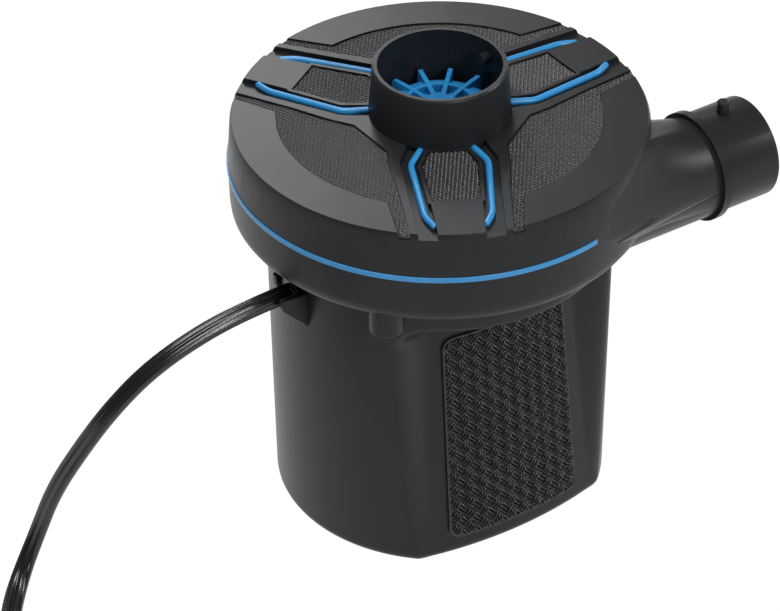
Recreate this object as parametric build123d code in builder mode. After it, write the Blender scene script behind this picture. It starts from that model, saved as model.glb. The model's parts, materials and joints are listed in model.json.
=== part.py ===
"""Electric air pump for inflatables, built as separate pieces in millimetres.

The origin is on the pump's own axis, in the plane that the base rests on. +Z is up and
+X is the way that the air leaves the outlet spout.
"""

from build123d import *
import math
import os

os.makedirs("parts", exist_ok=True)

# ---- driving dimensions: outer shells ----
base_radius = 44.4
body_top_radius = 45.7
body_height = 87.5
wall = 2.2
seam_radius = 55.0          # widest circle, where the accent band runs
seam_height = 101.3
bowl_radius = 54.8
lid_radius = 54.1
lid_edge_height = 113.9
lid_drop = 0.033            # the roof falls this much per millimetre outwards
roof_under = 111.2
band_height = 1.5

# ---- driving dimensions: intake ----
collar_top = 129.3
collar_outer = 17.5
collar_bore = 16.1
collar_base_outer = 18.5
collar_base_bore = 16.9
collar_seat_radius = 17.9
lug_angle = 8.0
spoke_turn = 2.3            # the first spoke stands this many degrees from the outlet's direction

# ---- driving dimensions: outlet ----
outlet_y = -29.8
outlet_z = 91.8
outlet_outer = 13.7
outlet_bore = 12.2
root_bore = 11.8           # the passage to the nozzle, which leaves a small step at its foot
outlet_end = 77.9
flange_start = 59.2
flange_thick = 2.2
flange_outer = 14.9
peg_x = 68.7
root_start = 10.5
bore_start = 12.0

# ---- driving dimensions: motor and fan ----
shaft_radius = 1.6
running_gap = 0.05
can_radius = 18.5
can_wall = 1.4
screw_radius = 1.5
board_top = 12.6
board_screw_x = 13.5
can_low = 30.0
can_high = 77.9
plate_radius = 24.0
plate_screw_circle = 21.4
plate_top = 80.1
cup_floor = 82.3
cup_radius = 43.1
fan_radius = 33.0
vane_count = 12
vane_turn = 16.0

# ---- driving dimensions: grips, cord ----
facet_radius = 112.0        # the grip faces are this gently rounded
facet_distance = 36.8       # from the axis to a grip face at the base
pocket_top = 77.4           # a grip face ends here
facet_lean = 0.11           # a grip face comes this much nearer the axis per millimetre upwards
pocket_foot = 17.8          # half-width of a grip pocket 20 mm from the axis
pocket_spread = 0.577       # and its growth per millimetre outwards
cord_width = 5.5
cord_thick = 2.8
cord_exit = (-46.6, 0.0, 76.0)


def crown(radius):
    """Height of the roof's top face at a radius."""
    return lid_edge_height + 0.3 + lid_drop * (lid_radius - radius)


def save(part, name):
    """Labels a finished piece and writes it."""
    part.label = name
    export_step(part, f"parts/{name}.step")


def outlet_plane(x):
    """Sketch plane across the outlet at a distance along it."""
    return Plane(origin=(x, outlet_y, outlet_z), x_dir=(0, 1, 0), z_dir=(1, 0, 0))


def turned(angle, height=0.0):
    """Horizontal plane whose x axis points along a spoke or a sector."""
    return Plane(origin=(0, 0, height), x_dir=(math.cos(math.radians(angle)), math.sin(math.radians(angle)), 0))


def polar(radius, angle):
    """Point on a circle about the pump's axis."""
    return radius * math.cos(math.radians(angle)), radius * math.sin(math.radians(angle))


def ring(outer, inner, low, high, centre=(0, 0)):
    """Plain ring or disc standing on a height."""
    with BuildPart() as made:
        with BuildSketch(Plane.XY.offset(low)):
            with Locations(centre):
                Circle(outer)
                if inner > 0:
                    Circle(inner, mode=Mode.SUBTRACT)
        extrude(amount=high - low)
    return made.part


def turning(points):
    """Solid of revolution from an outline of (radius, height) corners."""
    with BuildPart() as made:
        with BuildSketch(Plane.XZ):
            with BuildLine():
                Polyline(*points, close=True)
            make_face()
        revolve(axis=Axis.Z)
    return made.part


def prism(points, plane, low, high):
    """Upright prism on an outline drawn in a plane."""
    with BuildPart() as made:
        with BuildSketch(plane.offset(low)):
            with BuildLine():
                Polyline(*points, close=True)
            make_face()
        extrude(amount=high - low)
    return made.part


def above_roof(drop):
    """Everything over the roof's top face lowered by a drop."""
    return turning([(0, crown(0) - drop), (60, crown(60) - drop), (60, 124), (0, 124)])


# ---- grip faces: a tall, gently rounded cut on each long side of the body ----
def leaning_drum(grow, side):
    """Drum whose near face is a grip face, moved outwards by grow."""
    lean = math.atan(facet_lean)
    reach = facet_distance - facet_radius
    middle = (0, side * reach, 0)
    plane = Plane(origin=middle, x_dir=(1, 0, 0), z_dir=(0, -side * math.sin(lean), math.cos(lean)))
    with BuildPart() as made:
        with BuildSketch(plane.offset(-40)):
            Circle(facet_radius + grow)
        extrude(amount=160)
    return made.part


def grip_plane(side):
    """Upright sketch plane in front of a grip face, facing outwards."""
    return Plane(origin=(0, side * 20, 0), x_dir=(-side, 0, 0), z_dir=(0, side, 0))


def grip_pocket(side, grow):
    """What a grip face takes off the body: its outline, outside of the leaning drum."""
    with BuildPart() as made:
        with BuildSketch(grip_plane(side)):
            with BuildLine():
                Polyline((-30.0 - grow, -5), (-30.0 - grow, pocket_top + grow), (30.0 + grow, pocket_top + grow),
                         (30.0 + grow, -5), close=True)
            face = make_face()
            fillet(face.vertices().group_by(Axis.Z)[-1], 9)
        extrude(amount=40)
        # the side walls spread outwards
        near_half = pocket_foot + grow / math.cos(math.atan(pocket_spread))
        far_half = near_half + 40 * pocket_spread
        with BuildSketch(Plane.XY.offset(-6)):
            with BuildLine():
                Polyline((-near_half, side * 20), (near_half, side * 20), (far_half, side * 60), (-far_half, side * 60),
                         close=True)
            make_face()
        extrude(amount=95, mode=Mode.INTERSECT)
        add(leaning_drum(-grow, side), mode=Mode.SUBTRACT)
    return made.part


def grip_pad(side, under, over):
    """Slab that follows a grip face from under it to over it."""
    with BuildPart() as made:
        with BuildSketch(grip_plane(side)):
            with BuildLine():
                Polyline((-20.4, 5.5), (-18.8, 67), (18.8, 67), (20.4, 5.5), close=True)
            face = make_face()
            fillet(face.vertices(), 3.2)
        extrude(amount=40)
        add(leaning_drum(over, side), mode=Mode.INTERSECT)
        add(leaning_drum(-under, side), mode=Mode.SUBTRACT)
    return made.part


grip_sides = {"near": -1, "far": 1}
for grip_name, side in grip_sides.items():
    save(grip_pad(side, 0.6, 0.8), f"grip_panel_{grip_name}")

# ---- body shell: a tapered cup with the two grip faces, the cord's exit and the switch seat ----
switch_angle = 20.0
switch_height = 58.0
switch_reach = 45.45         # from the axis to the back of the switch's bezel
switch_plane = Plane(origin=(*polar(switch_reach, switch_angle), switch_height),
                     x_dir=(-math.sin(math.radians(switch_angle)), math.cos(math.radians(switch_angle)), 0),
                     z_dir=(*polar(1, switch_angle), 0))
cavity = turning([(0, 2.6), (base_radius - wall - 2.5, 2.6), (base_radius - wall, 5.2),
                  (body_top_radius - wall, body_height + 1), (0, body_height + 1)])
cavity = cavity - [grip_pocket(side, 2.4) for side in grip_sides.values()]

with BuildPart() as body_shell:
    with BuildSketch(Plane.XZ):
        with BuildLine():
            Line((0, 0), (base_radius - 2.6, 0))
            RadiusArc((base_radius - 2.6, 0), (base_radius, 2.6), -2.6)
            Line((base_radius, 2.6), (body_top_radius, body_height))
            Line((body_top_radius, body_height), (0, body_height))
            Line((0, body_height), (0, 0))
        make_face()
    revolve(axis=Axis.Z)
    add([grip_pocket(side, 0) for side in grip_sides.values()], mode=Mode.SUBTRACT)
    # two fins stand beside the cord and brace its exit
    for fin_y in (-5.4, 5.4):
        with BuildSketch(Plane(origin=(0, fin_y - 1.0, 0), x_dir=(-1, 0, 0), z_dir=(0, 1, 0))):
            with BuildLine():
                Polyline((43.8, 66), (52.4, 75.8), (52.4, 78.8), (43.8, 78.8), close=True)
            make_face()
        extrude(amount=2.0)
    add(cavity, mode=Mode.SUBTRACT)
    add([grip_pad(side, 0.6, 5.0) for side in grip_sides.values()], mode=Mode.SUBTRACT)
    # the spout's root passes through the rim
    with BuildSketch(outlet_plane(root_start - 0.3)):
        Circle(outlet_outer + 0.3)
    extrude(amount=60, mode=Mode.SUBTRACT)
    # two posts carry the rectifier board
    with BuildSketch(Plane.XY.offset(2.0)):
        with Locations((-board_screw_x, 0), (board_screw_x, 0)):
            Circle(2.4)
    extrude(amount=board_top - 1.6 - 2.0)
    with BuildSketch(Plane.XY.offset(4.0)):
        with Locations((-board_screw_x, 0), (board_screw_x, 0)):
            Circle(1.1)
    extrude(amount=board_top - 1.6 - 4.0, mode=Mode.SUBTRACT)
    # hole for the cord's bushing
    with BuildSketch(Plane.YZ.offset(-60)):
        with Locations((0, cord_exit[2])):
            Circle(4.0)
    extrude(amount=25, mode=Mode.SUBTRACT)
    # seat of the rocker switch
    with BuildSketch(switch_plane.offset(-8)):
        Rectangle(11.2, 17.2)
    extrude(amount=16, mode=Mode.SUBTRACT)
save(body_shell.part, "body_shell")

# ---- volute bowl: flange, inner cup and the lower half of the spout's root ----
boss_angles = (-139.3, 100.0, 32.0)
boss_circle = 49.8
boss_radius = 4.5
boss_low = 83.6
head_depth = 2.2            # the housing screws' heads sit this deep in their bosses
floor_height = 90.2
cup_inner = cup_radius - 1.8
chamber_radius = 52.4
seam_low = seam_height - band_height / 2
seam_high = seam_height + band_height / 2
bowl_outline = [(13.6, plate_top), (cup_radius, plate_top), (cup_radius, body_height), (51.6, body_height),
                (53.6, 88.1), (54.6, 89.6), (bowl_radius, 91.4), (seam_radius, seam_low),
                (chamber_radius, seam_low), (chamber_radius, floor_height), (cup_inner, floor_height),
                (cup_inner, cup_floor), (13.6, cup_floor)]
hollow = ring(chamber_radius, 0, floor_height, roof_under) + ring(cup_inner, 0, cup_floor, roof_under)


def root_tube(radius, start, upper):
    """Solid half cylinder along the outlet, above or below its middle plane."""
    with BuildPart() as made:
        with BuildSketch(outlet_plane(start)):
            Circle(radius)
        extrude(amount=flange_start - start)
        split(bisect_by=Plane.XY.offset(outlet_z), keep=Keep.TOP if upper else Keep.BOTTOM)
    return made.part


def outlet_rod(radius, start, end):
    """Solid cylinder along the outlet."""
    with BuildPart() as made:
        with BuildSketch(outlet_plane(start)):
            Circle(radius)
        extrude(amount=end - start)
    return made.part


with BuildPart() as volute_bowl:
    add(turning(bowl_outline))
    with BuildSketch(Plane.XY.offset(boss_low)):
        for angle in boss_angles:
            with Locations(polar(boss_circle, angle)):
                Circle(boss_radius)
    extrude(amount=floor_height - boss_low)
    # the body's rim and wall stand under the flange
    add(ring(body_top_radius + 0.1, cup_radius, boss_low - 8, body_height), mode=Mode.SUBTRACT)
    add(root_tube(outlet_outer, root_start, False))
    add(root_tube(outlet_outer, root_start, True), mode=Mode.SUBTRACT)
    add(hollow, mode=Mode.SUBTRACT)
    add(outlet_rod(root_bore, bore_start, 62), mode=Mode.SUBTRACT)
    with BuildSketch(Plane.XY.offset(boss_low)):
        for angle in boss_angles:
            with Locations(polar(boss_circle, angle)):
                Circle(screw_radius + 0.1)
    extrude(amount=20, mode=Mode.SUBTRACT)
    with BuildSketch(Plane.XY.offset(boss_low - 1)):
        for angle in boss_angles:
            with Locations(polar(boss_circle, angle)):
                Circle(2.8)
    extrude(amount=1 + head_depth, mode=Mode.SUBTRACT)
    with BuildSketch(Plane.XY.offset(plate_top - 0.5)):
        with PolarLocations(plate_screw_circle, 4, start_angle=45):
            Circle(screw_radius)
    extrude(amount=5, mode=Mode.SUBTRACT)
save(volute_bowl.part, "volute_bowl")

# ---- top cover: roof, skirt, arms with channels, screw posts and the upper half of the root ----
spokes = [spoke_turn + 120 * k for k in range(3)]
sectors = [angle + 60 for angle in spokes]
channel_drop = 1.4
pocket_drop = 1.7
mesh_drop = 0.7
channel_outer = [(14.2, 9.6), (22.5, 12.5), (37.0, 11.8), (56.0, 10.7)]
rail_outer = [(17.5, 15.6), (24.0, 15.2), (37.0, 13.8), (56.0, 12.6)]
block_start = 40.3
block_half = 6.5
block_half_rim = 5.6
window_outline = [(18.6, 5.0), (24.2, 7.2), (39.4, 6.2)]
frame_outline = [(17.0, 5.4), (24.3, 8.3), (block_start, 7.1)]
strip_rim = 15.4
mesh_arc = 42.4


def both_sides(points):
    """Outline from one side's points and their mirror image."""
    return points + [(u, -v) for u, v in reversed(points)]


def over_roof(outline, angle, drop):
    """What stands above the lowered roof inside an outline drawn beside a spoke."""
    return prism(outline, turned(angle), 100, 124) & above_roof(drop)


def spoke_channel(angle):
    """The sunk floor of an arm, on both sides of its window frame and its rim block."""
    floor = over_roof(both_sides(channel_outer), angle, channel_drop)
    frame = prism(both_sides(frame_outline), turned(angle), 100, 124)
    block = prism(both_sides([(block_start, block_half), (60, block_half_rim)]), turned(angle), 100, 124)
    return floor - frame - block


def sector_prism(angle, low, high, shrink=0.0):
    """Upright prism on the outline of the mesh between two arms, with its two legs out to the rim."""
    side = []
    for u, v in (rail_outer[1], rail_outer[2], rail_outer[3]):
        reach = math.hypot(u, v)
        swing = math.radians(60) - math.atan2(v, u)
        side.append((reach * math.cos(swing), reach * math.sin(swing)))
    for u, v in ((56.0, strip_rim), (38.8, 17.2)):
        reach = math.hypot(u, v)
        swing = math.radians(60) - math.atan2(v, u)
        side.append((reach * math.cos(swing), reach * math.sin(swing)))
    inner = (21.8, 7.4)
    with BuildPart() as made:
        with BuildSketch(turned(angle, low)):
            with BuildLine():
                right = [inner] + side
                left = [(x, -y) for x, y in reversed(right)]
                Polyline(*right)
                ThreePointArc(right[-1], (mesh_arc, 0), left[0])
                Polyline(*left)
                Line(left[-1], right[0])
            make_face()
            if shrink:
                offset(amount=-shrink)
        extrude(amount=high - low)
    return made.part


cover_outline = [(collar_seat_radius, roof_under), (chamber_radius, roof_under), (chamber_radius, seam_high),
                 (seam_radius, seam_high), (lid_radius + 0.1, lid_edge_height - 0.9),
                 (lid_radius - 0.5, crown(lid_radius - 0.5)), (collar_seat_radius, crown(collar_seat_radius))]
root_cone = [(32.0, 20.0), (44.0, 15.8), (50.0, outlet_outer)]
with BuildPart() as root_flare:
    with BuildSketch(Plane(origin=(0, outlet_y, outlet_z), x_dir=(1, 0, 0), z_dir=(0, -1, 0))):
        with BuildLine():
            Polyline((20, 0), (20, 22), *root_cone, (50.0, 0), close=True)
        make_face()
    revolve(axis=Axis((0, outlet_y, outlet_z), (1, 0, 0)))
    split(bisect_by=Plane.XY.offset(outlet_z + 4), keep=Keep.TOP)
    with BuildSketch(Plane.XY.offset(outlet_z - 1)):
        Circle(seam_radius)
    extrude(amount=seam_low - outlet_z + 1, mode=Mode.SUBTRACT)
    with BuildSketch(Plane.XY.offset(seam_low - 1)):
        Circle(chamber_radius + 0.6)
    extrude(amount=40, mode=Mode.SUBTRACT)
    with BuildSketch(Plane.XY.offset(lid_edge_height - 1.5)):
        Circle(120)
    extrude(amount=20, mode=Mode.SUBTRACT)
with BuildPart() as seam_key:
    add(ring(seam_radius, chamber_radius, seam_low, seam_high))
    with BuildSketch(Plane.XY.offset(seam_low - 1)):
        with BuildLine():
            Polyline((0, 0), polar(80, -77.8), polar(90, -45), polar(80, -2), close=True)
        make_face()
    extrude(amount=band_height + 2, mode=Mode.INTERSECT)
    add(outlet_rod(outlet_outer, 0, 62), mode=Mode.SUBTRACT)
with BuildPart() as top_cover:
    add(turning(cover_outline))
    add(seam_key.part)
    add(root_tube(outlet_outer, root_start, True))
    add(root_flare.part)
    add(hollow, mode=Mode.SUBTRACT)
    for angle in spokes:
        add(spoke_channel(angle), mode=Mode.SUBTRACT)
        add(over_roof(both_sides(window_outline), angle, pocket_drop), mode=Mode.SUBTRACT)
    for angle in sectors:
        add(sector_prism(angle, 100, 124) & above_roof(pocket_drop), mode=Mode.SUBTRACT)
    add(outlet_rod(root_bore, bore_start, 62), mode=Mode.SUBTRACT)
    # posts that take the housing screws
    with BuildSketch(Plane.XY.offset(floor_height)):
        for angle in boss_angles:
            with Locations(polar(boss_circle - 1.0, angle)):
                Circle(3.4)
    extrude(amount=roof_under - floor_height + 0.5)
    with BuildSketch(Plane.XY.offset(floor_height - 1)):
        for angle in boss_angles:
            with Locations(polar(boss_circle, angle)):
                Circle(screw_radius)
    extrude(amount=14, mode=Mode.SUBTRACT)
save(top_cover.part, "top_cover")

for number, angle in enumerate(sectors, start=1):
    sheet = (sector_prism(angle, 100, 124) & above_roof(pocket_drop)) - above_roof(mesh_drop)
    save(sheet & ring(lid_radius - 0.3, 0, 100, 124), f"sector_mesh_{number}")
for number, angle in enumerate(spokes, start=1):
    sheet = over_roof(both_sides(window_outline), angle, pocket_drop) - above_roof(mesh_drop)
    save(sheet, f"window_mesh_{number}")

# ---- accent band in the seam, stopping short of the spout ----
with BuildPart() as accent_band:
    add(ring(seam_radius + 0.3, chamber_radius, seam_low, seam_high))
    with BuildSketch(Plane.XY.offset(seam_low - 1)):
        with BuildLine():
            Polyline((0, 0), polar(80, -77.8), polar(90, -45), polar(80, -2), close=True)
        make_face()
    extrude(amount=band_height + 2, mode=Mode.SUBTRACT)
save(accent_band.part, "accent_band")

# ---- outlet nozzle: tube, shoulder flange and two bayonet pegs ----
with BuildPart() as outlet_nozzle:
    add(outlet_rod(outlet_outer, flange_start, outlet_end))
    add(outlet_rod(flange_outer, flange_start, flange_start + flange_thick))
    fillet(outlet_nozzle.edges().filter_by(GeomType.CIRCLE).sort_by(Axis.X)[-1], 0.5)
    with BuildSketch(Plane(origin=(peg_x, outlet_y, outlet_z - 17.4))):
        Circle(1.6)
    extrude(amount=34.8)
    chamfer(outlet_nozzle.edges().filter_by(GeomType.CIRCLE).group_by(Axis.Z)[-1], 0.4)
    add(outlet_rod(outlet_bore, flange_start - 1, outlet_end + 1), mode=Mode.SUBTRACT)
save(outlet_nozzle.part, "outlet_nozzle")

# ---- intake collar with two inner bayonet lugs ----
straight_bore_low = 126.2
collar_foot = crown(collar_seat_radius)
collar_outline = [(collar_base_bore, roof_under), (collar_seat_radius, roof_under), (collar_seat_radius, collar_foot),
                  (collar_base_outer, collar_foot), (collar_outer, collar_top - 0.5), (collar_outer - 0.4, collar_top),
                  (collar_bore, collar_top), (collar_bore, straight_bore_low), (collar_base_bore, 114.0)]
with BuildPart() as intake_collar:
    add(turning(collar_outline))
    for angle in (lug_angle, lug_angle + 180):
        with BuildSketch(Plane(origin=(*polar(collar_bore + 0.6, angle), 124.4), x_dir=(0, 0, 1),
                               z_dir=(*polar(-1, angle), 0))):
            Circle(1.6)
        extrude(amount=2.9)
save(intake_collar.part, "intake_collar")

# ---- accent strips in the channels of the arms ----
strip_width = 1.8
strip_line = [(17.6, 7.1), (23.1, 9.9), (45.0, 8.4), (48.4, 7.15)]
number = 0
for angle in spokes:
    for hand in (1, -1):
        number += 1
        with BuildPart() as strip:
            with BuildSketch(turned(angle, 100)):
                with BuildLine():
                    Polyline(*[(u, hand * v) for u, v in strip_line])
                trace(line_width=strip_width)
            extrude(amount=24)
            add(above_roof(channel_drop), mode=Mode.INTERSECT)
            add(above_roof(channel_drop - 1.7), mode=Mode.SUBTRACT)
        save(strip.part, f"accent_strip_{number}")

# ---- fan: hub, conical disc, vanes and eye ring ----
eye_ring_outer = 9.6
vane_outline = [(4.4, 105.0), (4.4, 117.0), (9.0, 117.6), (15.4, 118.0), (15.9, 117.4), (15.9, 109.8),
                (19.0, 108.6), (fan_radius, 99.0), (fan_radius, 84.4), (26.0, 86.0), (15.0, 96.0)]
cone_outline = [(4.0, 115.6), (9.6, 115.0), (14.5, 112.8), (17.0, 109.8), (20.0, 103.6), (25.0, 93.6),
                (fan_radius, 86.6), (fan_radius, 84.6), (24.0, 90.8), (18.6, 101.0), (15.4, 108.0), (13.2, 110.9),
                (9.0, 113.2), (4.0, 113.8)]
with BuildPart() as impeller:
    add(turning(cone_outline))
    add(ring(5.0, 0, 83.6, 117.0))
    add(ring(eye_ring_outer, eye_ring_outer - 1.1, 113.6, 117.4))
    for k in range(vane_count):
        spin = math.radians(vane_turn + k * 360 / vane_count)
        with BuildSketch(Plane(origin=(0, 0, 0), x_dir=(math.cos(spin), math.sin(spin), 0),
                               z_dir=(math.sin(spin), -math.cos(spin), 0))):
            with BuildLine():
                Polyline(*vane_outline, close=True)
            make_face()
        extrude(amount=0.6, both=True)
    with BuildSketch(Plane.XY.offset(80)):
        Circle(shaft_radius)
    extrude(amount=33, mode=Mode.SUBTRACT)
save(impeller.part, "impeller")

# ---- rotor: shaft, laminated core, windings and commutator ----
shaft_low = 23.0
save(ring(shaft_radius, 0, shaft_low, 113.0), "motor_shaft")
core_radius = 12.6
with BuildPart() as armature_core:
    add(ring(core_radius, shaft_radius, 42, 64))
    with BuildSketch(Plane.XY.offset(41)):
        with PolarLocations(core_radius - 2.2, 8):
            Rectangle(5.6, 1.6)
    extrude(amount=24, mode=Mode.SUBTRACT)
save(armature_core.part, "armature_core")
with BuildPart() as armature_winding:
    add(turning([(4.0, 64), (11.4, 64), (11.4, 67.4), (8.5, 69.6), (4.0, 69.6)]))
    add(turning([(4.0, 42), (11.4, 42), (11.4, 39.0), (8.5, 37.0), (4.0, 37.0)]))
    with BuildSketch(Plane.XY.offset(41)):
        with PolarLocations(core_radius - 2.8, 8):
            Rectangle(4.2, 1.2)
    extrude(amount=24)
save(armature_winding.part, "armature_winding")
commutator_radius = 4.2
with BuildPart() as commutator:
    add(ring(commutator_radius, shaft_radius, 31.0, 36.8))
    with BuildSketch(Plane.XY.offset(30)):
        with PolarLocations(commutator_radius, 8):
            Rectangle(1.2, 0.4)
    extrude(amount=8, mode=Mode.SUBTRACT)
save(commutator.part, "commutator")

# ---- stator: can, magnets, bearings, end cap, brushes ----
bearing_radius = 4.0
motor_screw_circle = 10.0
with BuildPart() as motor_can:
    add(ring(can_radius, 0, can_low, can_high))
    add(ring(can_radius - can_wall, 0, can_low, can_high - can_wall), mode=Mode.SUBTRACT)
    add(ring(bearing_radius, 0, can_high - 3, can_high + 1), mode=Mode.SUBTRACT)
    with BuildSketch(Plane.XY.offset(can_high - 3)):
        with PolarLocations(motor_screw_circle, 2):
            Circle(screw_radius)
    extrude(amount=4, mode=Mode.SUBTRACT)
save(motor_can.part, "motor_can")
with BuildPart() as field_magnets:
    add(ring(can_radius - can_wall, 13.4, 40, 66))
    with BuildSketch(Plane.XY.offset(39)):
        Rectangle(60, 11)
    extrude(amount=28, mode=Mode.SUBTRACT)
save(field_magnets.part, "field_magnets")
save(ring(bearing_radius, shaft_radius + running_gap, can_high - 3.4, can_high), "upper_bearing")
save(ring(bearing_radius, shaft_radius + running_gap, 26.6, can_low), "lower_bearing")
with BuildPart() as motor_end_cap:
    add(ring(can_radius, bearing_radius, 26.6, can_low))
    add(ring(can_radius - can_wall, can_radius - can_wall - 2, can_low, can_low + 3))
    with BuildSketch(Plane.XY.offset(can_low)):
        with Locations((8.6, 0), (-8.6, 0)):
            Rectangle(7.6, 6.4)
            Rectangle(7.6, 4.2, mode=Mode.SUBTRACT)
    extrude(amount=6.4)
save(motor_end_cap.part, "motor_end_cap")
with BuildPart() as carbon_brushes:
    with BuildSketch(Plane.XY.offset(can_low + 1.2)):
        with Locations((8.2, 0), (-8.2, 0)):
            Rectangle(7.4, 3.8)
    extrude(amount=4.4)
save(carbon_brushes.part, "carbon_brushes")

# ---- motor plate and its screws ----
with BuildPart() as motor_plate:
    add(ring(plate_radius, 5.5, can_high, plate_top))
    with BuildSketch(Plane.XY.offset(can_high - 1)):
        with PolarLocations(motor_screw_circle, 2):
            Circle(screw_radius)
        with PolarLocations(plate_screw_circle, 4, start_angle=45):
            Circle(screw_radius)
    extrude(amount=4, mode=Mode.SUBTRACT)
save(motor_plate.part, "motor_plate")


def pan_screw(base, low, length, head_up=False):
    """Screw with a round head, pointing up unless its head is on top."""
    head_low = low + length if head_up else low - 2.0
    return ring(screw_radius, 0, low, low + length, base) + ring(2.5, 0, head_low, head_low + 2.0, base)


motor_screws = [pan_screw(polar(motor_screw_circle, a), can_high - 3.0, 3.0 + plate_top - can_high, True) for a in (0, 180)]
plate_screws = [pan_screw(polar(plate_screw_circle, 45 + 90 * k), can_high, 4.0) for k in range(4)]
housing_screws = [pan_screw(polar(boss_circle, angle), boss_low + head_depth, 15.0) for angle in boss_angles]
board_screws = [ring(1.1, 0, board_top - 6.0, board_top + 1.2, (x, 0)) + ring(2.0, 0, board_top, board_top + 1.2, (x, 0))
                for x in (-board_screw_x, board_screw_x)]
for group_name, group in (("motor_screws", motor_screws), ("plate_screws", plate_screws),
                          ("housing_screws", housing_screws), ("board_screws", board_screws)):
    save(Compound(children=group), group_name)

# ---- electrics: rectifier board, its diodes, switch, bushing and leads ----
with BuildPart() as rectifier_board:
    with BuildSketch(Plane.XY.offset(board_top - 1.6)):
        Circle(17.0)
        with Locations((-board_screw_x, 0), (board_screw_x, 0)):
            Circle(1.2, mode=Mode.SUBTRACT)
        with Locations((0, -24), (0, 24)):
            Rectangle(40, 20, mode=Mode.SUBTRACT)
    extrude(amount=1.6)
save(rectifier_board.part, "rectifier_board")
with BuildPart() as rectifier_diodes:
    with BuildSketch(Plane.XY.offset(board_top)):
        with GridLocations(6.4, 0, 4, 1):
            Rectangle(3.2, 6.4)
    extrude(amount=3.2)
save(rectifier_diodes.part, "rectifier_diodes")

rocker_width = 8.0
rocker_tilt = 7.0
pivot_depth = 1.0
tilt = math.radians(rocker_tilt)
pivot_plane = Plane(origin=(*polar(switch_reach - pivot_depth, switch_angle), switch_height),
                    x_dir=(*polar(math.cos(tilt), switch_angle), math.sin(tilt)), z_dir=-switch_plane.x_dir)
with BuildPart() as switch_frame:
    with BuildSketch(switch_plane):
        RectangleRounded(14.0, 20.0, 1.2)
    extrude(amount=1.4)
    with BuildSketch(switch_plane):
        Rectangle(11.0, 17.0)
    extrude(amount=-8.5)
    with BuildSketch(switch_plane.offset(1.4)):
        Rectangle(8.6, 14.2)
    extrude(amount=-7.4, mode=Mode.SUBTRACT)
    with BuildSketch(pivot_plane):
        Circle(1.0 + running_gap)
    extrude(amount=10, both=True, mode=Mode.SUBTRACT)
save(switch_frame.part, "switch_frame")
with BuildPart() as switch_rocker:
    with BuildSketch(pivot_plane):
        with BuildLine():
            Polyline((-2.6, -4.6), (1.4, -6.5), (3.6, -6.6), (2.7, 0), (3.6, 6.6), (1.4, 6.5), (-2.6, 4.6), close=True)
        make_face()
    extrude(amount=rocker_width / 2, both=True)
    with BuildSketch(pivot_plane):
        Circle(1.0)
    extrude(amount=rocker_width / 2 + 1.2, both=True)
save(switch_rocker.part, "switch_rocker")
with BuildPart() as switch_contacts:
    for offset_z in (-5.0, 0.0, 5.0):
        with BuildSketch(switch_plane.offset(-8.5)):
            with Locations((0, offset_z)):
                Rectangle(4.0, 0.8)
        extrude(amount=-5.5)
save(switch_contacts.part, "switch_contacts")

with BuildPart() as cord_bushing:
    with BuildSketch(Plane.YZ.offset(cord_exit[0])):
        with Locations((0, cord_exit[2])):
            Circle(4.3)
    extrude(amount=1.0)
    with BuildSketch(Plane.YZ.offset(cord_exit[0] + 1.0)):
        with Locations((0, cord_exit[2])):
            Circle(3.95)
    extrude(amount=16, taper=3)
    with BuildSketch(Plane.YZ.offset(cord_exit[0] - 1)):
        with Locations((0, cord_exit[2])):
            RectangleRounded(5.9, 3.2, 1.5)
    extrude(amount=24, mode=Mode.SUBTRACT)
save(cord_bushing.part, "cord_bushing")


def lead(points, radii, radius, name):
    """Round tube along straight runs joined by tangent arcs."""
    with BuildPart() as made:
        with BuildLine() as path:
            FilletPolyline(*points, radius=radii)
        with BuildSketch(path.line ^ 0):
            Circle(radius)
        sweep()
    made.part.label = name
    return made.part, sum(edge.length for edge in path.edges())


def largest_radii(points):
    """Largest arc that each corner's two runs allow."""
    radii = []
    for before, here, after in zip(points, points[1:], points[2:]):
        first = Vector(here) - Vector(before)
        second = Vector(after) - Vector(here)
        turn = math.radians(first.get_angle(second))
        radii.append(0.45 * min(first.length, second.length) / math.tan(turn / 2))
    return radii


# ---- wires inside the body ----
contact_tip = polar(switch_reach - 15.2, switch_angle)
wire_foot = board_top + 0.05
wire_routes = [
    [(-28.9, 1.3, 76), (-25.5, 3.5, 71.5), (-21.0, 14.0, 66), (-9.0, 22.3, 64.5), (9.0, 22.3, 64), (22.0, 15.0, 63.5),
     (*contact_tip, 63)],
    [(-28.9, -1.3, 76), (-24.5, -3.0, 71), (-23.0, -6.5, 45), (-20.5, -6.5, 23), (-15.2, -4.5, 18), (-15.2, -4.5, wire_foot)],
    [(*contact_tip, 53), (24.0, 12.5, 47), (22.5, 12.0, 24), (9.0, 12.5, 19.8), (-8.0, 11.0, 19.5), (-15.2, 4.5, 18.5),
     (-15.2, 4.5, wire_foot)],
    [(14.8, 4.5, wire_foot), (14.8, 4.5, 17.5), (14.0, 0, 21.5), (14.0, 0, 26.55)],
    [(14.8, -4.5, wire_foot), (14.8, -4.5, 17.5), (6.0, -9.5, 20.0), (-10.0, -9.0, 20.5), (-14.0, 0, 22.5), (-14.0, 0, 26.55)],
]

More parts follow.
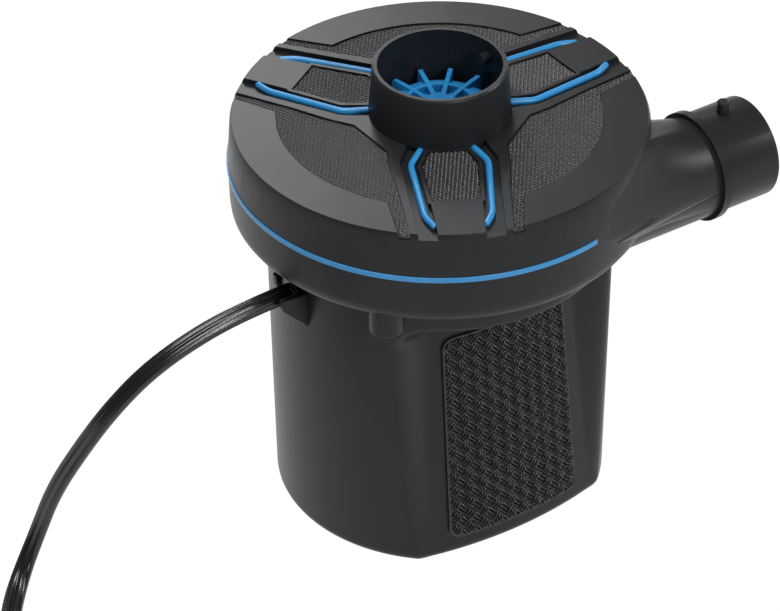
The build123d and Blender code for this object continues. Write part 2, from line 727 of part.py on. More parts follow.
# ---- cord: free lead, put-away coil, tail and plug ----
cord_radius = cord_thick / 2
rest_height = cord_radius + 0.05
coil_centre = (-181.0, -31.0)
coil_in = 25.2
coil_out = 34.8
coil_low = 0.9
coil_high = 12.2
lead_route = [
    (cord_exit[0], 0, cord_exit[2]), (-58, 0.4, 75.4), (-72, 1.5, 72.5), (-87, 3, 66), (-97.6, 5.4, 56),
    (-104.6, 10, 43), (-110.6, 15.2, 28.5), (-115, 18, 14), (-122, 15.5, 4.5), (-131, 5.5, rest_height),
    (-139, -9, rest_height), (-143.6, -22, rest_height), (-145.1, -34, rest_height),
]
tail_route = [(-217.1, -31, 3.2), (-216.6, -18, 3.2), (-213, -6, 5.0), (-211.6, 4, 7.2), (-211.6, 12, 7.2)]
wires = [lead(route, largest_radii(route), 0.9, "wire")[0] for route in wire_routes]
save(Compound(children=wires), "inner_wires")
for route, name in ((lead_route, "cord_lead"), (tail_route, "cord_tail")):
    radii = largest_radii(route)
    tube, tube_length = lead(route, radii, cord_radius, name)
    print(name, "radii", [round(r, 1) for r in radii], "length", round(tube_length, 1),
          "volume ratio", round(tube.volume / (math.pi * cord_radius**2 * tube_length), 4))
    save(tube, name)
save(ring(coil_out, coil_in, coil_low, coil_high, coil_centre), "cord_coil")
tie_wall = 0.8
with BuildPart() as coil_tie:
    add(ring(coil_out + tie_wall, coil_in - tie_wall, coil_low - tie_wall, coil_high + tie_wall, coil_centre))
    with BuildSketch(Plane.XY.offset(coil_low - 1)):
        with Locations((coil_centre[0], coil_centre[1] - 30)):
            Rectangle(5, 30)
    extrude(amount=20, mode=Mode.INTERSECT)
    add(ring(coil_out, coil_in, coil_low, coil_high, coil_centre), mode=Mode.SUBTRACT)
save(coil_tie.part, "coil_tie")

plug_start = tail_route[-1]
plug_length = 25.0
plug_plane = Plane(origin=(plug_start[0], plug_start[1], plug_start[2]), x_dir=(1, 0, 0), z_dir=(0, 1, 0))
with BuildPart() as plug_body:
    with BuildSketch(plug_plane):
        RectangleRounded(11.0, 8.0, 2.5)
    with BuildSketch(plug_plane.offset(8)):
        RectangleRounded(15.0, 11.0, 3.0)
    with BuildSketch(plug_plane.offset(plug_length)):
        RectangleRounded(23.0, 13.6, 3.5)
    loft()
save(plug_body.part, "plug_body")
with BuildPart() as plug_blades:
    with BuildSketch(plug_plane.offset(plug_length)):
        with Locations((-6.35, 0), (6.35, 0)):
            Rectangle(1.5, 6.3)
    extrude(amount=17.0)
save(plug_blades.part, "plug_blades")
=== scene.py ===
import bmesh
import bpy
import json
import math
import numpy as np
from mathutils import Matrix, Vector


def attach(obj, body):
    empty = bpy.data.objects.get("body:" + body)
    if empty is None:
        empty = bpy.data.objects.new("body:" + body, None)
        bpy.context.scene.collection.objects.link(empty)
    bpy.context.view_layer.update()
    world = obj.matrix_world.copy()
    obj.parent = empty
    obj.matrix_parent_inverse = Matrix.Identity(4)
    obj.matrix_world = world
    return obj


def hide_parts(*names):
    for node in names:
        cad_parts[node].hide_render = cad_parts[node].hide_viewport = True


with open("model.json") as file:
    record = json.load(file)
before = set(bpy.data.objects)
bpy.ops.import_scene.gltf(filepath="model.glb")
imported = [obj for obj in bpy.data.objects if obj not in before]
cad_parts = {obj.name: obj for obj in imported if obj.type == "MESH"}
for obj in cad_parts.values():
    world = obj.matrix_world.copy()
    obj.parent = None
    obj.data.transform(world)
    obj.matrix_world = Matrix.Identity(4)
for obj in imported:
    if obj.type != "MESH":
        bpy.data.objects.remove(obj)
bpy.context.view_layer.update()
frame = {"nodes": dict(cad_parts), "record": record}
nodes = frame["nodes"]
scene = bpy.context.scene
mm = 0.001
mergeGap = 2e-6

# place in metres, lens in millimetres on a 36 mm wide sensor
cameraSetup = {
    "place": (-0.4630, -0.6943, 0.6769),
    "forward": (0.4336, 0.6731, -0.5991),
    "up": (0.3311, 0.4994, 0.8006),
    "lens": 180.5,
    "sensor": 36,
}


def addCamera(setup):
    data = bpy.data.cameras.new("camera")
    data.lens = setup["lens"]
    data.sensor_width = setup["sensor"]
    cam = bpy.data.objects.new("camera", data)
    scene.collection.objects.link(cam)
    back = -Vector(setup["forward"]).normalized()
    right = Vector(setup["up"]).cross(back).normalized()
    up = back.cross(right)
    turn = Matrix((right, up, back)).transposed().to_4x4()
    cam.matrix_world = Matrix.Translation(setup["place"]) @ turn
    scene.camera = cam


addCamera(cameraSetup)
print("stage: camera")


def linked(name, mesh):
    obj = bpy.data.objects.new(name, mesh)
    scene.collection.objects.link(obj)
    return obj


def gridMesh(name, points, wrapCols=False, capped=False):
    # points is rows x cols x 3; faces join each point to its right and upper neighbours
    # and two many-sided faces cap the ends
    rows, cols = points.shape[:2]
    row, col = np.meshgrid(np.arange(rows - 1), np.arange(cols if wrapCols else cols - 1), indexing="ij")
    lower, upper, right = row * cols, (row + 1) * cols, (col + 1) % cols
    quads = np.stack([lower + col, lower + right, upper + right, upper + col], axis=-1)
    faces = [tuple(q) for q in quads.reshape(-1, 4).tolist()]
    if capped:
        faces.append(tuple(range(cols - 1, -1, -1)))
        faces.append(tuple(range((rows - 1) * cols, rows * cols)))
    mesh = bpy.data.meshes.new(name)
    mesh.from_pydata(points.reshape(-1, 3).tolist(), [], faces)
    mesh.validate()
    mesh.shade_smooth()
    return linked(name, mesh)


def outward(obj):
    bm = bmesh.new()
    bm.from_mesh(obj.data)
    bmesh.ops.recalc_face_normals(bm, faces=bm.faces)
    bm.to_mesh(obj.data)
    bm.free()
    return obj


def softened(node, name, width, angle=32, flat=0.6, segments=2):
    # merged copy of a CAD node with its sharp edges rounded by a small bevel
    mesh = nodes[node].data.copy()
    mesh.name = name
    bm = bmesh.new()
    bm.from_mesh(mesh)
    bmesh.ops.remove_doubles(bm, verts=bm.verts, dist=mergeGap)
    bmesh.ops.dissolve_limit(bm, angle_limit=math.radians(flat), verts=bm.verts, edges=bm.edges)
    for e in bm.edges:
        e.smooth = not (e.is_manifold and e.calc_face_angle(0) > math.radians(angle))
    for f in bm.faces:
        f.smooth = True
    bm.to_mesh(mesh)
    bm.free()
    mesh.materials.clear()
    obj = linked(name, mesh)
    bevel = obj.modifiers.new("bevel", "BEVEL")
    bevel.width = width * mm
    bevel.segments = segments
    bevel.limit_method = "ANGLE"
    bevel.angle_limit = math.radians(angle)
    bevel.harden_normals = True
    bevel.use_clamp_overlap = True
    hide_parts(node)
    return obj


# flat two-wire cord in a tied coil, in millimetres; the real length and the last three pairs are in metres
cordSetup = {
    "width": 5.5,
    "thick": 2.8,
    "exit": (-46.6, 0.0, 76.0),
    "route": [
        (-46.6, 0, 76.0), (-58, 0.4, 75.4), (-72, 1.5, 72.5), (-87, 3, 66), (-97.6, 5.4, 56),
        (-104.6, 10, 43), (-110.6, 15.2, 28.5), (-115, 18, 14), (-122, 15.5, 4.5), (-131, 5.5, 1.65),
        (-139, -9, 1.75), (-143.6, -22, 2.6),
    ],
    "coilCentre": (-181.0, -31.0),
    "layers": (33.2, 30.0, 26.8, 26.8, 30.0, 33.2),
    "rows": (3.75, 3.75, 3.75, 9.35, 9.35, 9.35),
    "pointsPerTurn": 18,
    "startAngle": 2.0,
    "endAngle": 180.0,
    "tail": [(-216.4, -18, 8.6), (-213, -6, 7.6), (-211.6, 4, 7.2), (-211.6, 12.4, 7.2)],
    "crossing": 0.25,  # part of a turn in which the ribbon moves to the next layer
    "step": 2.2,
    "around": 72,
    "squareness": 0.8,
    "valley": (0.78, 0.45),  # depth and width
    "ribs": (0.11, 0.62),  # height and pitch
    "firstSide": (0.10, 1.0, 0.12),  # the ribbon's wide direction where it leaves the grommet
    "length": 1.5,
    "floorFrom": (0.118, 0.152),  # lies flat between these distances from the grommet
    "edgeFrom": (0.166, 0.19),  # then turns on its edge for the coil
    "edgeTo": (0.040, 0.012),  # and back before its end
}


def coilPoints(s):
    # turns of a ribbon coil: the radius and height follow the layer lists, the angle falls steadily
    count = len(s["layers"])
    turns = count + (s["startAngle"] + 360 - s["endAngle"]) / 360
    n = int(round(turns * s["pointsPerTurn"]))
    t = np.linspace(0, turns, n)
    angle = np.radians(s["startAngle"] - t * 360)
    at = np.clip(t - s["crossing"], 0, count - 0.001)
    low = np.floor(at).astype(int)
    blend = smoothStep(1 - s["crossing"], 1, at - low)
    layers = np.array(s["layers"] + (s["layers"][-1],))
    rows = np.array(s["rows"] + (s["rows"][-1],))
    radius = layers[low] + (layers[low + 1] - layers[low]) * blend
    height = rows[low] + (rows[low + 1] - rows[low]) * blend
    x = s["coilCentre"][0] + radius * np.cos(angle)
    y = s["coilCentre"][1] + radius * np.sin(angle)
    return np.stack([x, y, height], axis=1)


def routeLine(s):
    # smooth NURBS line through the listed route, the coil's turns and the tail
    points = np.concatenate([np.array(s["route"]), coilPoints(s), np.array(s["tail"])]) * mm
    data = bpy.data.curves.new("cordRoute", "CURVE")
    data.dimensions = "3D"
    data.resolution_u = 10
    spline = data.splines.new("NURBS")
    spline.points.add(len(points) - 1)
    spline.points.foreach_set("co", np.c_[points, np.ones(len(points))].ravel())
    spline.order_u = 3
    spline.use_endpoint_u = True
    obj = bpy.data.objects.new("cordRoute", data)
    mesh = bpy.data.meshes.new_from_object(obj)
    line = np.empty(len(mesh.vertices) * 3)
    mesh.vertices.foreach_get("co", line)
    bpy.data.meshes.remove(mesh)
    bpy.data.objects.remove(obj)
    bpy.data.curves.remove(data)
    return line.reshape(-1, 3)


def spacedLine(line, step):
    # the same line with points an even step apart, and their distances along it
    along = np.r_[0, np.cumsum(np.linalg.norm(np.diff(line, axis=0), axis=1))]
    at = np.linspace(0, along[-1], int(along[-1] / step) + 1)
    return np.stack([np.interp(at, along, line[:, k]) for k in range(3)], axis=1), at


def smoothStep(a, b, x):
    # 0 below a, 1 above b, and 3t^2 - 2t^3 between them
    t = np.clip((x - a) / (b - a), 0, 1)
    return t * t * (3 - 2 * t)


def unit(v):
    return v / np.maximum(np.linalg.norm(v, axis=-1, keepdims=True), 1e-12)


def flexProfile(s):
    # two round lobes side by side with a shallow valley between them, and fine ribs along the flats
    a = np.linspace(0, 2 * np.pi, s["around"], endpoint=False)
    half, lobe = s["width"] / 2, s["thick"] / 2
    across = half * np.sign(np.cos(a)) * np.abs(np.cos(a)) ** s["squareness"]
    centre = np.clip(across, -(half - lobe), half - lobe)
    reach = np.sqrt(np.maximum(lobe**2 - (across - centre) ** 2, 0))
    (deep, wide), (high, pitch) = s["valley"], s["ribs"]
    valley = deep * np.exp(-((across / wide) ** 2))
    ribs = high * np.cos(across * 2 * np.pi / pitch) * smoothStep(0, 0.6, reach)
    up = np.sign(np.sin(a)) * np.maximum(reach - valley + ribs, 0)
    return across * mm, up * mm


def addCord(s):
    # the ribbon's section carried along the route; its wide direction turns from the grommet's
    # to flat on the floor, and then to upright in the coil
    line, at = spacedLine(routeLine(s), s["step"] * mm)
    tangent = unit(np.gradient(line, axis=0))
    world = np.array([0.0, 0.0, 1.0])
    flat = unit(np.cross(tangent, world))
    flat = np.where((flat @ np.array([0, 1.0, 0]))[:, None] < 0, -flat, flat)
    first = np.tile(s["firstSide"], (len(line), 1))
    floorPart = smoothStep(*s["floorFrom"], at)[:, None]
    upright = 1 - smoothStep(at[-1] - s["edgeTo"][0], at[-1] - s["edgeTo"][1], at)
    coilPart = (smoothStep(*s["edgeFrom"], at) * upright)[:, None]
    side = unit(first * (1 - floorPart) + flat * floorPart)
    side = unit(side * (1 - coilPart) + world * coilPart)
    side = unit(side - tangent * (side * tangent).sum(1, keepdims=True))
    normal = np.cross(tangent, side)
    across, up = flexProfile(s)
    points = line[:, None] + side[:, None] * across[None, :, None] + normal[:, None] * up[None, :, None]
    obj = gridMesh("flexCord", points, wrapCols=True, capped=True)
    return outward(obj), line


flexCord, cordLine = addCord(cordSetup)
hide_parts("cord_lead", "cord_coil", "cord_tail")
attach(flexCord, "housing")
print("stage: cord")

plugSetup = {
    "place": (-211.6, 12.0, 7.2),
    "length": 25.0,
    "halfWide": (3.4, 7.8),  # at the cord, and how much it swells
    "halfHigh": (2.4, 4.1),
    "ribs": 5,
    "ribHigh": 0.45,
    "ribZone": (0.12, 0.2, 0.55, 0.66),  # parts of the length where the ribs fade in and out
    "endTaper": 0.28,
    "squareness": 0.62,
    "rows": 90,
    "around": 64,
    "bladeBevel": 0.3,
    "tieBevel": 0.25,
}


def addPlug(s):
    # moulded plug: rounded-box sections along +Y that swell from the cord to the blades, with finger ribs
    t = np.linspace(0, 1, s["rows"])
    a = np.linspace(0, 2 * np.pi, s["around"], endpoint=False)
    halfWide = s["halfWide"][0] + s["halfWide"][1] * smoothStep(0.0, 0.85, t)
    halfHigh = s["halfHigh"][0] + s["halfHigh"][1] * smoothStep(0.0, 0.7, t)
    ribs = s["ribHigh"] * np.maximum(np.cos(t * 2 * np.pi * (s["ribs"] + 0.5)), 0)
    ribs = ribs * smoothStep(*s["ribZone"][:2], t) * (1 - smoothStep(*s["ribZone"][2:], t))
    end = np.sqrt(np.clip(1 - smoothStep(0.94, 1.0, t) * s["endTaper"], 0, 1))
    wave = np.stack([np.cos(a), np.sin(a)])
    shape = np.sign(wave) * np.abs(wave) ** s["squareness"]
    wide = (halfWide - ribs) * end
    high = (halfHigh - ribs * 0.3) * end
    x = s["place"][0] + wide[:, None] * shape[0]
    z = s["place"][2] + high[:, None] * shape[1]
    y = np.repeat((s["place"][1] + t * s["length"])[:, None], len(a), axis=1)
    obj = gridMesh("plugBody", np.stack([x, y, z], axis=-1) * mm, wrapCols=True, capped=True)
    return outward(obj)


plugBody = addPlug(plugSetup)
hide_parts("plug_body")
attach(plugBody, "housing")

coilTie = softened("coil_tie", "coilTie", plugSetup["tieBevel"])
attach(coilTie, "housing")
plugBlades = softened("plug_blades", "plugBlades", plugSetup["bladeBevel"])
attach(plugBlades, "housing")
print("stage: plug and tie")

# CAD shapes with their edges rounded: the node, then name, bevel width, body and finish
shellSetup = {
    "volute_bowl": ("voluteBowl", 0.45, "housing", "charcoal_plastic"),
    "top_cover": ("topCover", 0.28, "housing", "charcoal_plastic"),
    "intake_collar": ("intakeCollar", 0.3, "housing", "charcoal_plastic"),
    "outlet_nozzle": ("outletNozzle", 0.3, "housing", "charcoal_plastic"),
    "accent_band": ("accentBand", 0.2, "housing", "blue_plastic"),
    "impeller": ("fan", 0.22, "rotor", "blue_plastic"),
    "switch_frame": ("switchFrame", 0.25, "housing", "charcoal_plastic"),
    "switch_rocker": ("switchRocker", 0.3, "switch", "diode_black"),
    "cord_bushing": ("cordBushing", 0.25, "housing", "cord_vinyl"),
}
shells = {}
for nodeName, (name, width, body, slotName) in shellSetup.items():
    shells[nodeName] = softened(nodeName, name, width)
    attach(shells[nodeName], body)
print("stage: shells")

# tapered cup with a soft-edged flat on each long side, and two fins beside the cord
bodySetup = {
    "low": 44.4,
    "high": 45.7,
    "height": 87.5,
    "axisGap": 0.05,  # radius at which the base and the floor inside are closed
    "drum": 112.0,  # radius of the leaning drum that the flats follow
    "reach": 36.8 - 112.0,  # its axis, so that a flat's middle is 36.8 out at the base
    "lean": 0.11,
    "footAngle": (37.2, 39.6),  # half angle of the flat at the base and at flatHeight
    "flatHeight": 67.0,
    "outside": 10.5,  # degrees that the step spreads beyond the flat's half angle
    "inside": 0.8,  # and inside it
    "top": 78.6,
    "soft": 7.0,
    "corner": 9.0,
    "foot": 2.6,
    "wall": 2.3,
    "around": 540,
    "rise": 110,
    "fall": 50,
    "sharp": 40,
    "finLine": [(-43.0, 66), (-52.4, 75.8), (-52.4, 78.8), (-43.0, 78.8)],
    "finY": (-5.4, 5.4),
    "finReach": (1.0, 0.5),
    "finHalf": 1.0,
    "finBevel": 0.35,
}


def bodyRadius(theta, z, s):
    # a cone, lowered towards a leaning drum inside each flat; the two meet in a smooth step
    cone = s["low"] + (s["high"] - s["low"]) * z / s["height"]
    cosA, sinA = np.abs(np.sin(theta)), np.abs(np.cos(theta))
    lean = math.atan(s["lean"])
    centre = s["reach"] + s["drum"] * (1 / math.cos(lean) - 1) - z * s["lean"]
    flat = centre * cosA + np.sqrt(s["drum"] ** 2 - (centre * sinA) ** 2)
    alpha = np.degrees(np.arctan2(sinA, cosA))
    foot = s["footAngle"][0] + (s["footAngle"][1] - s["footAngle"][0]) * z / s["flatHeight"]
    across = s["soft"] * (foot + s["outside"] - alpha) / (s["outside"] + s["inside"])
    above = s["top"] - z
    r = s["corner"]
    depth = r - np.hypot(np.maximum(r - across, 0), np.maximum(r - above, 0))
    sunk = smoothStep(0, s["soft"], depth)
    return cone - np.maximum(cone - flat, 0) * sunk


def addBody(s):
    # rows run from the middle of the base, up the outside, over the rim and down the inside
    theta = np.linspace(0, 2 * np.pi, s["around"], endpoint=False)
    closed = np.full(s["around"], s["axisGap"])
    bend = np.radians(np.linspace(0, 90, 8))
    rise = s["foot"] * (1 - np.cos(bend))
    inset = s["foot"] * (1 - np.sin(bend))
    outer = np.r_[rise, np.linspace(s["foot"], s["height"], s["rise"])[1:]]
    insets = np.r_[inset, np.zeros(s["rise"] - 1)]
    rows = [(closed, 0.0)]
    rows += [(bodyRadius(theta, z, s) - i, z) for z, i in zip(outer, insets)]
    down = np.linspace(s["height"], s["foot"], s["fall"])
    rows += [(bodyRadius(theta, z, s) - s["wall"], z) for z in down]
    rows.append((closed, s["foot"]))
    radius = np.stack([r for r, z in rows])
    height = np.repeat(np.array([z for r, z in rows])[:, None], len(theta), axis=1)
    points = np.stack([radius * np.cos(theta), radius * np.sin(theta), height], axis=-1)
    obj = gridMesh("bodyShell", points * mm, wrapCols=True, capped=True)
    obj.data.set_sharp_from_angle(angle=math.radians(s["sharp"]))
    return outward(obj)


def addFins(s):
    # two upright plates beside the cord, cut from one outline
    verts, faces = [], []
    n = len(s["finLine"])
    rootX = s["finLine"][0][0]
    for middle, reach in zip(s["finY"], s["finReach"]):
        start = len(verts)
        for y in (middle - s["finHalf"], middle + s["finHalf"]):
            verts += [((rootX + (x - rootX) * reach) * mm, y * mm, z * mm) for x, z in s["finLine"]]
        faces += [[start + k for k in range(n)], [start + n + k for k in reversed(range(n))]]
        for k in range(n):
            after = (k + 1) % n
            faces.append([start + k, start + n + k, start + n + after, start + after])
    mesh = bpy.data.meshes.new("cordFins")
    mesh.from_pydata(verts, [], faces)
    obj = outward(linked("cordFins", mesh))
    bevel = obj.modifiers.new("bevel", "BEVEL")
    bevel.width = s["finBevel"] * mm
    bevel.segments = 3
    obj.data.shade_smooth()
    return obj


# profiles of radius and height; the sleeves lengthen the three screw bosses under the bowl
turnedSetup = {
    "fanCone": [(8.4, 116.9), (10.4, 116.7), (12.6, 116.0), (14.4, 114.9), (15.5, 113.4), (15.9, 111.4)],
    "bossSleeve": [(2.8, 84.0), (2.8, 81.3), (3.0, 81.0), (4.2, 81.0), (4.5, 81.3), (4.5, 84.6)],
    "bossAngles": (-139.3, 100.0, 32.0),
    "bossCircle": 49.8,
    "round": 0.25,
    "coneAround": 96,
    "sleeveAround": 40,
}


def addTurned(name, profile, centre, n):
    # a profile of radius and height turned about an upright axis
    a = np.linspace(0, 2 * np.pi, n, endpoint=False)
    line = roundedLine(profile, turnedSetup["round"], 4)
    x = centre[0] + line[:, 0, None] * np.cos(a)
    y = centre[1] + line[:, 0, None] * np.sin(a)
    z = np.repeat(line[:, 1, None], n, axis=1)
    return outward(gridMesh(name, np.stack([x, y, z], axis=-1) * mm, wrapCols=True))


def roundedLine(points, radius, n=7):
    # polyline whose corners are replaced by short quadratic curves
    pts = [np.array(p, float) for p in points]
    out = [pts[0]]
    for a, b, c in zip(pts, pts[1:], pts[2:]):
        first = b + unit(a - b) * min(radius, np.linalg.norm(a - b) / 2)
        last = b + unit(c - b) * min(radius, np.linalg.norm(c - b) / 2)
        for t in np.linspace(0, 1, n):
            out.append(first * (1 - t) ** 2 + 2 * b * t * (1 - t) + last * t * t)
    out.append(pts[-1])
    return np.array(out)


fanCone = addTurned("fanCone", turnedSetup["fanCone"], (0, 0), turnedSetup["coneAround"])
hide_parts("impeller")
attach(fanCone, "rotor")
sleeves = []
for i, angle in enumerate(turnedSetup["bossAngles"]):
    turn = math.radians(angle)
    centre = (turnedSetup["bossCircle"] * math.cos(turn), turnedSetup["bossCircle"] * math.sin(turn))
    sleeve = addTurned(f"bossSleeve{i + 1}", turnedSetup["bossSleeve"], centre, turnedSetup["sleeveAround"])
    sleeves.append(sleeve)
    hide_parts("volute_bowl")
    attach(sleeves[-1], "housing")

bodyShell = addBody(bodySetup)
cordFins = addFins(bodySetup)
for obj in (bodyShell, cordFins):
    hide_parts("body_shell")
    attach(obj, "housing")
print("stage: body")

# roof height, and the sheets of mesh let into it; u runs out along a spoke and v across it
lidSetup = {
    "roof": 114.2,
    "roofRise": 0.033,
    "roofRadius": 54.1,
    "spokeTurn": 2.3,
    "meshDrop": 0.7,
    "channelDrop": 1.4,
    "rim": 53.75,
    "sector": [
        (21.8, 7.4), (25.16, 13.18), (30.45, 25.14), (39.21, 42.34), (41.34, 40.80), (34.30, 25.0),
    ],
    "arc": 42.4,
    "arcPoints": 14,
    "window": [(18.4, 4.9), (24.2, 7.2), (39.4, 6.2)],
    "rows": -67.0,
    "rowPitch": 0.98,
    "bumpPitch": 1.15,
    "bumpHigh": 0.3,
    "bumpHalf": 0.38,
    "bumpWaist": 0.45,
    "sunk": 0.06,  # how far the sheet's border lies under the mesh level
    "lift": 0.09,
    "margin": 0.3,
    "fade": 0.3,
    "overlap": 0.12,
    "sharp": 38,
    "cell": 0.14,
}


def crown(radius):
    # the roof rises towards the middle in step with the distance in from its rim
    return lidSetup["roof"] + lidSetup["roofRise"] * (lidSetup["roofRadius"] - radius)


def insideDistance(x, y, outline):
    # distance to the nearest edge of an outline, negative outside it
    x, y = np.asarray(x), np.asarray(y)
    best = np.full(x.shape, 1e9)
    inside = np.zeros(x.shape, bool)
    for (ax, ay), (bx, by) in zip(outline, outline[1:] + outline[:1]):
        dx, dy = bx - ax, by - ay
        t = np.clip(((x - ax) * dx + (y - ay) * dy) / (dx * dx + dy * dy), 0, 1)
        best = np.minimum(best, np.hypot(x - ax - t * dx, y - ay - t * dy))
        if dy != 0:
            crosses = ((ay > y) != (by > y)) & (x < (y - ay) / dy * dx + ax)
            inside ^= crosses
    return np.where(inside, best, -best)


def joinSheet(obj, points, keep):
    # adds the kept cells of a grid to a piece's mesh
    cols = points.shape[1]
    full = keep[:-1, :-1] & keep[1:, :-1] & keep[:-1, 1:] & keep[1:, 1:]
    rr, cc = np.nonzero(full)
    lower, upper = rr * cols + cc, (rr + 1) * cols + cc
    quads = np.stack([lower, lower + 1, upper + 1, upper], axis=-1)
    used, packed = np.unique(quads, return_inverse=True)
    start = len(obj.data.vertices)
    old = np.empty(start * 3)
    obj.data.vertices.foreach_get("co", old)
    faces = [list(f.vertices) for f in obj.data.polygons]
    faces += (packed.reshape(-1, 4) + start).tolist()
    verts = np.concatenate([old.reshape(-1, 3), points.reshape(-1, 3)[used]])
    mesh = bpy.data.meshes.new(obj.name)
    mesh.from_pydata(verts.tolist(), [], faces)
    mesh.validate()
    mesh.shade_smooth()
    mesh.set_sharp_from_angle(angle=math.radians(lidSetup["sharp"]))
    obj.data = mesh
    return obj


def plainCopy(nodeName, name):
    # merged copy of a CAD node
    mesh = nodes[nodeName].data.copy()
    mesh.materials.clear()
    bm = bmesh.new()
    bm.from_mesh(mesh)
    bmesh.ops.remove_doubles(bm, verts=bm.verts, dist=mergeGap)
    bm.to_mesh(mesh)
    bm.free()
    obj = linked(name, mesh)
    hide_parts(nodeName)
    return obj


def bumps(x, y, s):
    # staggered rows of small rounded bumps, each a little longer than wide
    turn = math.radians(s["rows"])
    along = (x * math.cos(turn) + y * math.sin(turn)) / s["bumpPitch"]
    row = (-x * math.sin(turn) + y * math.cos(turn)) / s["rowPitch"]
    number = np.floor(row)
    a = (along + 0.5 * np.mod(number, 2)) % 1 - 0.5
    b = row - number - 0.5
    ridge = np.sqrt(np.clip(1 - (b / s["bumpHalf"]) ** 2, 0, 1))
    return s["bumpHigh"] * ridge * (1 - s["bumpWaist"] * smoothStep(0.3, 0.5, np.abs(a)))


def addLidMesh(nodeName, name, outline, angle, s):
    # flat sheet under the roof's level with bumps that fade out at the outline
    turn = math.radians(angle)
    xs = np.array([p[0] for p in outline])
    ys = np.array([p[1] for p in outline])
    u = np.arange(xs.min() - s["margin"], xs.max() + 2 * s["margin"], s["cell"])
    v = np.arange(ys.min() - s["margin"], ys.max() + 2 * s["margin"], s["cell"])
    uu, vv = np.meshgrid(u, v, indexing="ij")
    x = uu * math.cos(turn) - vv * math.sin(turn)
    y = uu * math.sin(turn) + vv * math.cos(turn)
    radius = np.hypot(x, y)
    depth = np.minimum(insideDistance(uu, vv, outline), s["rim"] - radius)
    fade = smoothStep(0.0, s["fade"], depth)
    high = crown(radius) - s["meshDrop"] - s["sunk"] + fade * (s["lift"] + bumps(x, y, s))
    obj = plainCopy(nodeName, name)
    return joinSheet(obj, np.stack([x, y, high], axis=-1) * mm, depth > -s["overlap"])


def mirrored(points):
    # the points, then their mirror images across the u axis in reverse
    return points + [(u, -v) for u, v in reversed(points)]


def sectorOutline(s):
    # one side of the mesh, the inner arc between its legs, and the mirror image
    half = math.asin(s["sector"][-1][1] / s["arc"])
    angles = np.linspace(half, 0, s["arcPoints"])[1:-1]
    arc = [(s["arc"] * math.cos(t), s["arc"] * math.sin(t)) for t in angles]
    return mirrored(s["sector"] + arc)


lidMeshes = []
for i in range(3):
    spoke = lidSetup["spokeTurn"] + 120 * i
    sector, window = sectorOutline(lidSetup), mirrored(lidSetup["window"])
    lidMeshes.append(addLidMesh(f"sector_mesh_{i + 1}", f"sectorMesh{i + 1}", sector, spoke + 60, lidSetup))
    lidMeshes.append(addLidMesh(f"window_mesh_{i + 1}", f"windowMesh{i + 1}", window, spoke, lidSetup))
for obj in lidMeshes:
    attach(obj, "housing")
print("stage: lid meshes")

beadSetup = {
    "line": [(16.9, 6.7), (23.1, 9.9), (45.0, 8.4), (48.7, 6.6)],
    "wide": 0.88,
    "high": 0.95,
    "lift": 0.62,
    "round": 1.8,
    "around": 18,
    "tip": 0.03,
}


def addBead(name, angle, hand, s):
    # round bar along the channel with a dome at each end
    line = roundedLine([(u, hand * v) for u, v in s["line"]], s["round"])
    dome = np.sin(np.linspace(0, np.pi / 2, 7))
    grow = np.sqrt(np.clip(1 - (1 - dome) ** 2, 0, 1))
    first, last = unit(line[1] - line[0]), unit(line[-1] - line[-2])
    head = line[0] - first * (1 - dome[:-1])[:, None] * s["wide"]
    tail = line[-1] + last * (1 - dome[:-1][::-1])[:, None] * s["wide"]
    path = np.concatenate([head, line, tail])
    size = np.r_[grow[:-1], np.ones(len(line)), grow[:-1][::-1]]
    size = np.maximum(size, s["tip"])
    tangent = unit(np.gradient(path, axis=0))
    side = np.stack([-tangent[:, 1], tangent[:, 0]], axis=1)
    a = np.linspace(0, 2 * np.pi, s["around"], endpoint=False)
    u = path[:, None, 0] + side[:, None, 0] * size[:, None] * s["wide"] * np.cos(a)
    v = path[:, None, 1] + side[:, None, 1] * size[:, None] * s["wide"] * np.cos(a)
    turn = math.radians(angle)
    x = u * math.cos(turn) - v * math.sin(turn)
    y = u * math.sin(turn) + v * math.cos(turn)
    middle = crown(np.hypot(path[:, 0], path[:, 1])) - lidSetup["channelDrop"] + s["lift"]
    z = middle[:, None] + size[:, None] * s["high"] * np.sin(a)
    return outward(gridMesh(name, np.stack([x, y, z], axis=-1) * mm, wrapCols=True, capped=True))


beads = []
for i in range(6):
    angle = lidSetup["spokeTurn"] + 120 * (i // 2)
    beads.append(addBead(f"accentStrip{i + 1}", angle, 1 if i % 2 == 0 else -1, beadSetup))
    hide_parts(f"accent_strip_{i + 1}")
    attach(beads[-1], "housing")
print("stage: beads")

# skin from the bowl's skirt and the roof's rim to the spout's tube
fairingSetup = {
    "tubeY": -29.8,
    "tubeZ": 91.8,
    "tubeRadius": 13.72,
    "tubeX": 59.0,
    # azimuth, height and radius on the shell, then the angle round the tube
    "edge": [
        (-47.0, 87.4, 51.2, 224), (-52.0, 88.5, 53.9, 206), (-56.5, 90.0, 54.6, 190),
        (-59.3, 91.8, 54.8, 180), (-68.0, 95.2, 54.9, 176), (-77.8, 100.6, 54.9, 168),
        (-74.3, 105.4, 54.7, 150), (-71.8, 107.1, 54.6, 140), (-67.3, 109.6, 54.4, 128),
        (-61.9, 111.4, 54.2, 117), (-56.8, 112.9, 54.1, 108), (-50.0, 113.5, 54.0, 100),
        (-44.0, 112.6, 54.0, 94), (-38.0, 110.6, 54.2, 87), (-33.0, 109.0, 54.4, 80),
        (-27.0, 107.0, 54.5, 68), (-21.0, 104.0, 54.7, 50), (-16.0, 100.0, 54.9, 32),
        (-13.0, 95.5, 54.9, 14), (-12.0, 91.0, 54.7, -4), (-14.0, 88.2, 53.4, -24),
    ],
    "groove": 0.3,
    "grooveWide": 0.03,
    "grooveLines": (2.94, 3.0, 3.05),
    "straighten": 0.25,
    "lines": 161,
    "rows": 40,
}


